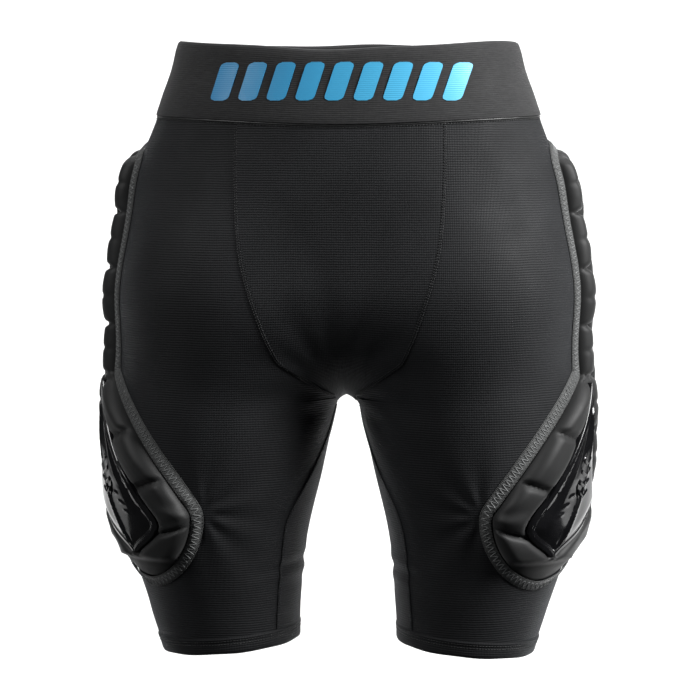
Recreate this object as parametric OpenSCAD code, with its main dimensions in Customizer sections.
// Padded impact shorts. Millimetres, +Z up, front at -Y, the wearer's left at +X.
// The origin is the middle of the waist opening, level with the top of the waistband,
// so depths below the waist are written as a positive drop d, and z is -d.

/* [Cut] */
// Width of the waist opening, side to side
waist_w = 284; // [276:2:292]
// Width over the hips, without the pads
hip_w = 394; // [386:2:400]
// Depth of the shorts over the hips, front to back
hip_depth = 236; // [230:2:240]
// Width of a leg at the hem
hem_w = 113; // [108:1:118]
// Drop from the waist to the crotch
rise = 297; // [294:1:299]
// Drop from the waist to the middle of a hem
side_len = 513; // [505:1:520]

/* [Fabric] */
// Height of the waistband
band_h = 61; // [55:1:65]
// Height of the folded hem
hem_h = 15; // [12:1:18]
// Thickness of the stretch fabric
cloth = 1.6; // [1.4:0.1:1.8]
// Width of the stitched tape round a pad
tape_w = 8; // [7:1:9]

/* [Pads] */
// Thickness of the foam in the grooves between its blocks
foam_base = 10; // [9:0.5:11]
// Thickness of the foam at the top of its blocks
foam_top = 15.5; // [14.5:0.5:16]
// Thickness of the hard plates
plate_t = 2.4; // [2:0.2:2.6]

/* [Motion] */
// How far a leg swings forwards, in degrees
swing_front = 30; // [20:1:30]
// How far a leg swings back, in degrees
swing_back = 12; // [5:1:12]

/* [Hidden] */

black_cloth = [0.055, 0.06, 0.07];
band_cloth = [0.08, 0.085, 0.095];
black_foam = [0.07, 0.075, 0.075];
gloss_black = [0.02, 0.02, 0.022];
tape_grey = [0.2, 0.21, 0.21];
print_blue = [0.12, 0.5, 0.72];

// The body form. Each list is a half-width or half-depth at every 60 mm of drop.
station_gap = 60;
hip_half = hip_w / 2;
depth_half = hip_depth / 2;
trunk_side = [waist_w / 2, 0.812 * hip_half, 0.92 * hip_half, 0.94 * hip_half, 0.972 * hip_half,
    hip_half, hip_half, hip_half, hip_half, hip_half];
trunk_front = depth_half * [0.845, 0.88, 0.92, 0.93, 0.915, 0.9, 0.9, 0.9, 0.9, 0.9];
trunk_back = depth_half * [0.84, 0.9, 1.02, 1.085, 1.085, 1.07, 1.07, 1.07, 1.07, 1.07];
leg_out = hip_half * [0.5, 0.6, 0.8, 0.935, 0.968, 1, 0.995, 0.958, 0.865, 0.78];
leg_in = concat([30, 30, 25, 12, 6, 9.5, 21.5, 36],
    [154.5 - hem_w, 155 - hem_w]);
leg_front = depth_half * [0.2, 0.3, 0.55, 0.8, 0.87, 0.84, 0.78, 0.7, 0.6, 0.53];
leg_back = depth_half * [0.2, 0.35, 0.75, 1.09, 1.13, 0.92, 0.76, 0.645, 0.54, 0.49];
round_off = 2.2;      // squareness of the trunk's section
close_at = 200;       // drop where the trunk starts to close towards the crotch
blend_mid = 14;       // how widely a leg blends into the trunk at mid-depth
blend_rise = 0.3;     // and how much wider for each mm to the front or back

// Lines on the form. Angles are about a leg's axis, 0 at the side, negative to the front.
axis_x = 100;                 // a leg's axis
inner_seam = 134;             // the inner panel's seams, front and back
hinge_d = 245;                // drop of the hip hinge
groin_top = 226;              // the bending cloth at the front starts here
gluteal_top = 247;            // and at the back here
leg_top = 310;                // the legs start here
strip = 8;                    // half-width of the gusset
seam_x = [85, 85, 85, 80, 62, 36];   // the front panel's side seams, at the stations
pad_top = 92;
pad_bottom = 448;
side_mid = 20;                // where front and back meet above a hip pad
low_mid = -40;                // and below a thigh pad
pad_edge = 15;                // angle of the pad's front border over the hip
kink = 282;                   // where it turns forwards
lobe = 391;                   // where it reaches furthest forwards
lobe_edge = 74.8;             // and its angle there
back_turn = 362;              // the back border turns forwards here
gap = 0.6;                    // clearance between layers that can't touch
leg_radius = 100;             // rough radius of a leg, for turning degrees into lengths
per_degree = PI * leg_radius / 180;

function station(t, d) =
    let (n = len(t) - 1, q = min(max(d / station_gap, 0), n - 0.001), i = floor(q), u = q - i,
        a = t[max(i - 1, 0)], b = t[i], c = t[i + 1], e = t[min(i + 2, n)])
    b + 0.5 * u * (c - a + u * (2 * a - 5 * b + 4 * c - e + u * (3 * (b - c) + e - a)));

function trunk(x, y, d) =
    let (w = station(trunk_side, d), b = station(y < 0 ? trunk_front : trunk_back, d),
        h = max(0, d - close_at) / (rise - close_at), p = round_off)
    0.9 * b * (pow(pow(abs(x) / w, p) + pow(abs(y) / b, p) + pow(h, p), 1 / p) - 1);

function leg(x, y, d) =
    let (o = station(leg_out, d), i = station(leg_in, d), w = (o - i) / 2,
        b = station(y < 0 ? leg_front : leg_back, d))
    (norm([(x - (o + i) / 2) / w, y / b]) - 1) * (w + b) / 2;

// Negative inside the shorts' outer skin, positive outside, roughly in mm.
function form(x, y, d) =
    let (t = trunk(x, y, d), l = leg(abs(x), y, d), k = blend_mid + blend_rise * abs(y),
        m = max(k - abs(t - l), 0))
    min(t, l) - m * m / (4 * k);

// How far from (x, y) the skin is along a level direction.
function reach(x, y, d, dx, dy, lo = 0, hi = 240, n = 18) =
    let (m = (lo + hi) / 2)
    n == 0 ? m
    : form(x + m * dx, y + m * dy, d) < 0 ? reach(x, y, d, dx, dy, m, hi, n - 1)
    : reach(x, y, d, dx, dy, lo, m, n - 1);

function outwards(x, y, d) =
    let (e = 0.5, g = [form(x + e, y, d) - form(x - e, y, d), form(x, y + e, d) - form(x, y - e, d),
        form(x, y, d - e) - form(x, y, d + e)])
    g / norm(g);

// The point at an angle about the vertical line through (k, 0), at drop d, off mm proud of the skin.
// A ray from a leg's axis stops at the middle plane, short of the other leg.
function skin(k, angle, d, off) =
    let (c = cos(angle), stop = k > 0 && c < -0.3 ? -k / c : 240,
        r = reach(k, 0, d, c, sin(angle), 0, stop), x = k + r * c, y = r * sin(angle))
    [x, y, -d] + off * outwards(x, y, d);

// The angle about a leg's axis of the skin in front of x (side -1) or behind it (side 1).
function angle_at(x, d, side) = atan2(side * reach(x, 0, d, 0, side), x - axis_x);

function closing(d, from, to) = sqrt(max(0, 1 - pow((d - from) / (to - from), 2)));
function spread(a, b, n) = [for (i = [0:n]) a + (b - a) * i / n];

// The pad's front and back borders.
function pad_front(d) =
    d < pad_top + 15 ? side_mid - (side_mid + pad_edge) * closing(d, pad_top + 15, pad_top)
    : d < kink ? -pad_edge
    : d < lobe ? -pad_edge - (lobe_edge - pad_edge) * pow((d - kink) / (lobe - kink), 0.72)
    : low_mid - (lobe_edge + low_mid) * closing(d, lobe, pad_bottom);
function pad_back(d) =
    d < pad_top + 30 ? side_mid + 22 * closing(d, pad_top + 30, pad_top)
    : d < back_turn ? lookup(d, [[pad_top + 30, 42], [180, 50], [kink, 54], [340, 50], [back_turn, 44]])
    : low_mid + (44 - low_mid) * pow(closing(d, back_turn, pad_bottom), 1.5);
function side_split(d, front) =
    d <= pad_top ? side_mid : d >= pad_bottom ? low_mid : front ? pad_front(d) : pad_back(d);

// The thigh plate's front and back edges.
plate_top = 286;
plate_bottom = 424;
function plate_front(d) = lookup(d, [[286, -14], [294, -16], [320, -25], [352, -38], [376, -49],
    [388, -56], [398, -59.5], [407, -58], [416, -52], [424, -43]]);
function plate_back(d) = lookup(d, [[286, -12], [299, -11], [325, -12], [350, -11], [368, -6.5],
    [380, -1.5], [387, -1.5], [398, -11], [413, -27], [424, -41]]);

// A hem is lower at the outside of the leg.
function hem_d(angle) = side_len + 5.5 * cos(angle);

// A closed sheet over a grid of points: inner and outer are the same size.
module sheet(inner, outer) {
    rows = len(inner);
    cols = len(inner[0]);
    count = rows * cols;
    function id(i, j, s) = s * count + i * cols + j;
    flat = [for (r = inner) each r];
    faces = concat(
        [for (i = [0:rows - 2], j = [0:cols - 2], s = [0, 1], h = [0, 1])
            let (a = id(i, j, s), b = id(i, j + 1, s), c = id(i + 1, j + 1, s), e = id(i + 1, j, s),
                t = h == 0 ? [a, b, c] : [a, c, e])
            s == 1 ? t : [t[0], t[2], t[1]]],
        [for (i = [0:rows - 2], h = [0, 1]) let (a = id(i, 0, 0), b = id(i + 1, 0, 0),
            c = id(i + 1, 0, 1), e = id(i, 0, 1)) h == 0 ? [a, c, b] : [a, e, c]],
        [for (i = [0:rows - 2], h = [0, 1]) let (a = id(i, cols - 1, 0), b = id(i + 1, cols - 1, 0),
            c = id(i + 1, cols - 1, 1), e = id(i, cols - 1, 1)) h == 0 ? [a, b, c] : [a, c, e]],
        [for (j = [0:cols - 2], h = [0, 1]) let (a = id(0, j, 0), b = id(0, j + 1, 0),
            c = id(0, j + 1, 1), e = id(0, j, 1)) h == 0 ? [a, b, c] : [a, c, e]],
        [for (j = [0:cols - 2], h = [0, 1]) let (a = id(rows - 1, j, 0), b = id(rows - 1, j + 1, 0),
            c = id(rows - 1, j + 1, 1), e = id(rows - 1, j, 1)) h == 0 ? [a, c, b] : [a, e, c]]);
    polyhedron(concat(flat, [for (r = outer) each r]), faces, convexity = 6);
}

// A sheet over a grid of [angle, drop] places. lift is the outer offset at each place.
module laid(k, grid, low, lift) {
    sheet([for (r = grid) [for (p = r) skin(k, p[0], p[1], low)]],
        [for (i = [0:len(grid) - 1]) [for (j = [0:len(grid[0]) - 1])
            skin(k, grid[i][j][0], grid[i][j][1], is_num(lift) ? lift : lift[i][j])]]);
}

// A panel between two edges, which are functions of the drop.
module panel(drops, edge0, edge1, n, low = -cloth, high = 0, k = axis_x) {
    laid(k, [for (d = drops) spread([edge0(d), d], [edge1(d), d], n)], low, high);
}

// A ring round the vertical line through (k, 0). shape holds [offset, drop past base(angle)].
module ring(k, shape, base, n) {
    m = len(shape);
    points = [for (i = [0:n - 1], q = shape) skin(k, 360 * i / n, base(360 * i / n) + q[1], q[0])];
    polyhedron(points, [for (i = [0:n - 1], j = [0:m - 1], h = [0, 1])
        let (a = i * m + j, b = i * m + (j + 1) % m, c = (i + 1) % n * m + (j + 1) % m,
            e = (i + 1) % n * m + j) h == 0 ? [a, b, c] : [a, c, e]], convexity = 6);
}

module right() { mirror([1, 0, 0]) children(); }

band_sides = 54;
hem_sides = 36;

// The waistband: fabric folded over an elastic, with a grip strip inside.
module waistband_cover() {
    color(band_cloth) ring(0, [[0.2, band_h], [0.2, 2.4], [-1.9, 2.4], [-1.9, band_h], [-3.3, band_h],
        [-3.3, 3], [-2, 0.8], [0.2, 0.8], [1.6, 3], [1.6, band_h]], function (a) 0, band_sides);
}
module waistband_elastic() {
    color([0.5, 0.5, 0.5]) ring(0, [[-0.4, band_h - 1], [-1.3, band_h - 1], [-1.3, 3.4], [-0.4, 3.4]],
        function (a) 0, band_sides);
}
module waistband_grip() {
    color(gloss_black) ring(0, [[-3.6, 20], [-3.6, 30], [-4.6, 30], [-4.6, 20]],
        function (a) 0, band_sides);
}
module waist_seam() {
    color(tape_grey) ring(0, [[0.5, band_h + 0.3], [0.5, band_h + 2.4], [1.3, band_h + 2.4],
        [1.3, band_h + 0.3]], function (a) 0, band_sides);
}
// Slanted bars across the front of the band.
module waistband_print() {
    bars = 9;
    pitch = 10.4;   // degrees
    slant = 3;
    color(print_blue) for (i = [0:bars - 1])
        let (a = -90 + (i - (bars - 1) / 2) * pitch)
        laid(0, [for (d = spread(18, 46, 2)) spread([a - 3 - slant * (d - 32) / 14, d],
            [a + 3 - slant * (d - 32) / 14, d], 2)], 2.3, 2.7);
}
module care_label() {
    color([0.85, 0.85, 0.85]) laid(0, [for (d = spread(36, 80, 4)) spread([84, d], [96, d], 3)],
        -5.6, -5.1);
}

// Cloth on the hips: the front panel, the hip panels beside it, and the seat.
hip_drops = concat(spread(band_h + 0.2, pad_top, 2), [96, 101, pad_top + 15, pad_top + 30, 143, 165,
    187, 208, groin_top]);
seat_drops = concat(hip_drops, [gluteal_top]);
function seam_angle(d) = angle_at(station(seam_x, d), d, -1);
module front_panel() {
    color(black_cloth) sheet(front_points(-cloth), front_points(0));
}
function front_points(off) = [for (d = hip_drops) [for (t = spread(-1, 1, 10))
    let (x = t * (station(seam_x, d) - 0.1), y = -reach(x, 0, d, 0, -1))
    [x, y, -d] + off * outwards(x, y, d)]];
module hip_panel() {
    color(black_cloth) panel(hip_drops, function (d) seam_angle(d) + 0.1,
        function (d) side_split(d, true) - 0.4, 10);
}
module seat_panel() {
    color(black_cloth) panel(seat_drops, function (d) side_split(d, false) + 0.4,
        function (d) angle_at(0.1, d, 1), 10);
}

// Cloth that bends at the hip, down to the top of the legs.
function gusset_edge(d, side) = d > rise + 6 ? side * 180 : angle_at(strip + gap, d, side);
module groin_panel() {
    color(black_cloth) panel([groin_top + 0.3, 245, 262, 277, 289, 298, leg_top - 0.3],
        function (d) gusset_edge(d, -1), function (d) pad_front(d) - 0.6, 14);
}
module gluteal_panel() {
    color(black_cloth) panel([gluteal_top + 0.3, 263, 278, 289, 298, leg_top - 0.3],
        function (d) pad_back(d) + 0.6, function (d) gusset_edge(d, 1), 14);
}
// The gusset follows the skin round the crotch, seen from a point above it.
function under(x, angle, off, lo = 0, hi = 160, n = 18) =
    let (m = (lo + hi) / 2, y = m * sin(angle), d = close_at + m * cos(angle))
    n == 0 ? [x, y, -d] + off * outwards(x, y, d)
    : form(x, y, d) < 0 ? under(x, angle, off, m, hi, n - 1) : under(x, angle, off, lo, m, n - 1);
module gusset_strip(low, high, front, back) {
    angles = spread(-front, back, 18);
    sheet([for (a = angles) [for (x = spread(-strip, strip, 4)) under(x, a, low)]],
        [for (a = angles) [for (x = spread(-strip, strip, 4)) under(x, a, high)]]);
}
module crotch_gusset() { color(black_cloth) gusset_strip(-cloth, 0, 75, 66.5); }
module gusset_lining() { color(black_cloth) gusset_strip(-cloth - 1.5, -cloth - 0.5, 60, 50); }

// Cloth on the thighs.
pad_tip = [lobe + 14, lobe + 30, pad_bottom - 11, pad_bottom - 5];
leg_drops = concat(spread(leg_top, lobe, 5), pad_tip, [pad_bottom]);
function down_leg(d, a) = d <= pad_bottom ? d : pad_bottom + (hem_d(a) - hem_h - 0.3 - pad_bottom)
    * (d - pad_bottom) / 2;
module leg_panel(edge0, edge1, n) {
    color(black_cloth) laid(axis_x, [for (d = concat(leg_drops, [pad_bottom + 1, pad_bottom + 2]))
        [for (a = spread(edge0(d), edge1(d), n)) [a, down_leg(d, a)]]], -cloth, 0);
}
module thigh_front_panel() {
    leg_panel(function (d) -inner_seam + 0.1, function (d) side_split(d, true) - 0.1, 12);
}
module thigh_back_panel() {
    leg_panel(function (d) side_split(d, false) + 0.1, function (d) inner_seam - 0.1, 10);
}
module inner_panel() { leg_panel(function (d) inner_seam, function (d) 360 - inner_seam, 8); }
module hem() {
    color(black_cloth) ring(axis_x, [[0, -hem_h], [0.9, -hem_h + 1], [0.9, -1.2], [-0.2, 0],
        [-2.4, 0], [-3.2, -1.2], [-3.2, -hem_h], [-1.8, -hem_h], [-1.8, -1.8], [-0.6, -1.8]],
        function (a) hem_d(a), hem_sides);
}
module hem_grip() {
    color(gloss_black) ring(axis_x, [[-3.5, -hem_h + 3], [-3.5, -3], [-4.3, -3], [-4.3, -hem_h + 3]],
        function (a) hem_d(a), hem_sides);
}

// The thigh side of the hinge drops away, so that the pads don't meet when a leg swings.
roof_clear = 1.2;
function roof(a) = hinge_d + 2.5
    + per_degree * (a < 0 ? roof_clear * tan(swing_front) * -a : tan(swing_back) * a);

// Liners: the cloth behind the pads.
module hip_liner() {
    color(black_cloth) panel([pad_top + 4.5, 101, pad_top + 15, pad_top + 30, 143, 165, 187, 208,
        226, hinge_d - 1], function (d) pad_front(d) + 0.4, function (d) pad_back(d) - 0.4, 8);
}
module thigh_liner() {
    drops = concat([kink], spread(leg_top, lobe, 5), pad_tip);
    function row(d, top) = [for (t = spread(0, 1, 8)) let (f = pad_front(d) + 0.6,
        b = pad_back(d) - 0.6, a = f + t * (b - f)) [a, top ? roof(a) + 1 : d]];
    color(black_cloth) laid(axis_x, concat([row(hinge_d, true)], [for (d = drops) row(d, false)]),
        -cloth, 0);
}

// Foam blocks. A row is [drop, raised], and the columns repeat foot, top, top across the pad.
flange = 2.2;
pad_low = 1.2;
function foam_rows(marks) = [for (m = marks) each [[m[0], 0], [m[0] + 3.5, 1],
    [(m[0] + m[1]) / 2, 1], [m[1] - 3.5, 1], [m[1], 0]]];
function lines(f, b, splits) = concat([f, f + 2.2, f + 6],
    [for (s = splits) each [s - 1.6, s, s + 1.6]], [b - 6, b - 2.2, b]);
function level(j, n, raised) = j == 0 || j == n ? flange : j == 1 || j == n - 1 ? flange + 1
    : j % 3 == 1 ? foam_base : foam_base + raised * (foam_top - foam_base);

module hip_pad() {
    rows = concat([[pad_top + 2, -1], [pad_top + 4, -1]],
        foam_rows([[pad_top + 8, 109], [111, 150], [153, 197], [200, hinge_d - 1.5]]));
    grid = [for (r = rows) let (f = pad_front(r[0]) + 0.8, b = pad_back(r[0]) - 0.8)
        [for (a = lines(f, b, [f + (b - f) / 3, f + 2 * (b - f) / 3])) [a, r[0]]]];
    n = len(grid[0]) - 1;
    color(black_foam) laid(axis_x, grid, pad_low, [for (r = rows) [for (j = [0:n])
        r[1] < 0 ? flange + (j > 0 && j < n ? 1 : 0) : level(j, n, r[1])]]);
}

// The thigh pad has a seat for the plate between its front blocks and its side blocks.
seat_h = foam_base - 1;
plate_gap = 0.8;
module thigh_pad() {
    rows = concat(foam_rows([[hinge_d + 2.5, 287], [290, 328], [331, 367], [370, 399]]),
        [[405, 1], [413, 1], [422, 1], [430, 1], [436, 2], [441, -1], [pad_bottom - 2.5, -1]]);
    function row_d(d, a) = d >= 287 ? d : let (t = (d - hinge_d - 2.5) / (284.5 - hinge_d))
        roof(a) + t * (287 - roof(a));
    function across(d) = let (f = pad_front(d) + 0.8, b = pad_back(d) - 0.8,
        p = max(f + 4, min(plate_front(d) - 1.2, b - 24)),
        q = max(p + 4, min(plate_back(d) + 1.2, b - 16)), w = b - q, m = q + w / 2)
        concat([f, f + (p - f) * 0.3, p - (p - f) * 0.2], spread(p, q, 5),
            [q + w * 0.08, q + w * 0.28, m - w * 0.05, m, m + w * 0.05, m + w * 0.21, b - w * 0.14, b]);
    // 0 flange, 1 foot, 2 block, 3 seat of the plate
    kinds = [0, 2, 2, 3, 3, 3, 3, 3, 3, 2, 2, 2, 1, 2, 2, 2, 0];
    function height(kind, raised, d) =
        raised < 0 ? (kind == 0 ? flange : flange + 1.5)
        : kind == 0 ? flange
        : raised == 2 ? foam_base - 2
        : kind == 1 ? foam_base
        : kind == 3 ? (d > plate_top - 4 && d < plate_bottom + 1 ? seat_h : foam_base)
        : foam_base + raised * (foam_top - foam_base);
    color(black_foam) laid(axis_x, [for (r = rows) [for (a = across(r[0])) [a, row_d(r[0], a)]]],
        pad_low, [for (r = rows) [for (kind = kinds) height(kind, r[1], r[0])]]);
}

// The plates: a shell that rises to a ridge, and a badge let into it.
module thigh_plate() {
    drops = [plate_top + 1, 299, 313, 327, 341, 353, 365, 376, 384, 392, 400, 409, 417, plate_bottom - 1];
    bow = [0, 0.55, 0.9, 1, 0.9, 0.55, 0];
    grid = [for (d = drops) spread([plate_front(d), d], [plate_back(d), d], 6)];
    function crown(i) = 4 * closing(abs(i - 6.5), 0, 7);
    function face(high) = [for (i = [0:len(drops) - 1]) [for (j = [0:6])
        let (g = grid[i][j]) skin(axis_x, g[0], g[1], seat_h + plate_gap + high + crown(i) * bow[j])]];
    color(gloss_black) sheet(face(0), face(plate_t));
}
module plate_badge() {
    drops = [342, 352, 362, 372, 382];
    color([0.35, 0.35, 0.36]) laid(axis_x, [for (d = drops) let (f = plate_front(d), b = plate_back(d),
        w = 5 * closing(d, 362, 386)) spread([(f + b) / 2 - w, d], [(f + b) / 2 + w, d], 4)],
        seat_h + 7.8, seat_h + 9.8);
}

// Tape beside a line of [angle, drop] points, on the side of the smaller angles where it climbs.
module tape(k, points) {
    n = len(points) - 1;
    function beside(i, w) = let (a = points[max(i - 1, 0)], b = points[min(i + 1, n)],
        t = [(b[0] - a[0]) * per_degree, b[1] - a[1]], s = t / norm(t))
        points[i] + w * [s[1] / per_degree, -s[0]];
    laid(k, [for (i = [0:n]) [for (w = [0, tape_w / 2, tape_w]) beside(i, w + gap)]],
        gap, gap + 0.9);
}
module hip_tape() {
    front = [for (d = concat(spread(hinge_d - 2, pad_top + 15, 8), [102, 98, 95, 93.2]))
        [pad_front(d), d]];
    back = [for (d = concat([93.2, 95.5, 99, 104, 110, 116], spread(pad_top + 30, hinge_d - 2, 7)))
        [pad_back(d), d]];
    color(tape_grey) tape(axis_x, concat(front, [[side_mid, pad_top]], back));
}
module thigh_tape() {
    back = [for (d = concat(spread(272, lobe, 7), [398, 405, 411, 416.5, 421.5, 426, 430.5, 434.5,
        438, 441, 443.5, 445.5, 447])) [pad_back(d), d]];
    front = [for (d = concat([447.8, 447, 445.5, 440.5, 433, 428, 420, 411, 401], spread(lobe, 312, 6),
        [300, 290, kink, 277, 272])) [pad_front(d), d]];
    color(tape_grey) tape(axis_x, concat(back, [[low_mid, pad_bottom]], front));
}

// The tail pad sits on the middle of the seat, under the waistband.
tail_top = 84;
tail_bottom = 252;
function tail_half(d) = d < 112 ? 27 * closing(d, 112, tail_top)
    : d < 210 ? min(27, 27 - 12 * (d - 150) / 60) : 15 * closing(d, 210, tail_bottom);
module tail_pad() {
    rows = concat([[tail_top + 3, -1]],
        foam_rows([[tail_top + 8, 124], [127, 166], [169, 208], [211, 238]]),
        [[tail_bottom - 6, -1], [tail_bottom - 2, -1]]);
    grid = [for (r = rows) let (w = tail_half(r[0]) - 0.6, m = w * 0.42)
        [for (a = [-w, -w * 0.92, -w * 0.8, -m - w * 0.08, -m, m, m + w * 0.08, w * 0.8, w * 0.92, w])
            [90 + a, r[0]]]];
    kinds = [0, 1, 2, 2, 3, 3, 2, 2, 1, 0];
    color(black_foam) laid(0, grid, pad_low, [for (r = rows) [for (kind = kinds)
        r[1] < 0 || kind < 2 ? flange + (kind > 0 ? 1 : 0) : kind == 3 ? seat_h
        : foam_base + r[1] * (foam_top - foam_base)]]);
}
module tail_plate() {
    drops = [101, 112, 130, 150, 170, 187, 199, 209, 218, 226];
    color(gloss_black) sheet(tail_surface(drops, 0), tail_surface(drops, plate_t));
}
function tail_surface(drops, high) = [for (d = drops) [for (t = spread(-1, 1, 6))
    let (w = tail_half(d) * 0.38 * (0.25 + 0.75 * closing(abs(d - 160), 0, 67)))
    skin(0, 90 + t * w, d,
        seat_h + plate_gap + high + 3.5 * (1 - t * t) * closing(abs(d - 163.5), 0, 64))]];
module tail_tape() {
    half = concat([tail_top], [85.2, 88, 93, 100], spread(112, 210, 7), [221, 231, 239, 245, 249, 251.3]);
    n = len(half) - 1;
    color(tape_grey) tape(0, concat([for (d = half) [90 + tail_half(d), d]], [[90, tail_bottom]],
        [for (i = [0:n - 1]) [90 - tail_half(half[n - i]), half[n - i]]]));
}

waistband_cover();
waistband_elastic();
waistband_grip();
waistband_print();
waist_seam();
care_label();
front_panel();
crotch_gusset();
gusset_lining();
tail_pad();
tail_plate();
tail_tape();
hip_panel();  // left_hip_panel
right() hip_panel();  // right_hip_panel
seat_panel();  // left_seat_panel
right() seat_panel();  // right_seat_panel
groin_panel();  // left_groin_panel
right() groin_panel();  // right_groin_panel
gluteal_panel();  // left_gluteal_panel
right() gluteal_panel();  // right_gluteal_panel
hip_liner();  // left_hip_liner
right() hip_liner();  // right_hip_liner
thigh_liner();  // left_thigh_liner
right() thigh_liner();  // right_thigh_liner
hip_pad();  // left_hip_pad
right() hip_pad();  // right_hip_pad
thigh_pad();  // left_thigh_pad
right() thigh_pad();  // right_thigh_pad
hip_tape();  // left_hip_tape
right() hip_tape();  // right_hip_tape
thigh_tape();  // left_thigh_tape
right() thigh_tape();  // right_thigh_tape
thigh_plate();  // left_thigh_plate
right() thigh_plate();  // right_thigh_plate
plate_badge();  // left_plate_badge
right() plate_badge();  // right_plate_badge
thigh_front_panel();  // left_thigh_front_panel
right() thigh_front_panel();  // right_thigh_front_panel
thigh_back_panel();  // left_thigh_back_panel
right() thigh_back_panel();  // right_thigh_back_panel
inner_panel();  // left_inner_panel
right() inner_panel();  // right_inner_panel
hem();  // left_hem
right() hem();  // right_hem
hem_grip();  // left_hem_grip
right() hem_grip();  // right_hem_grip
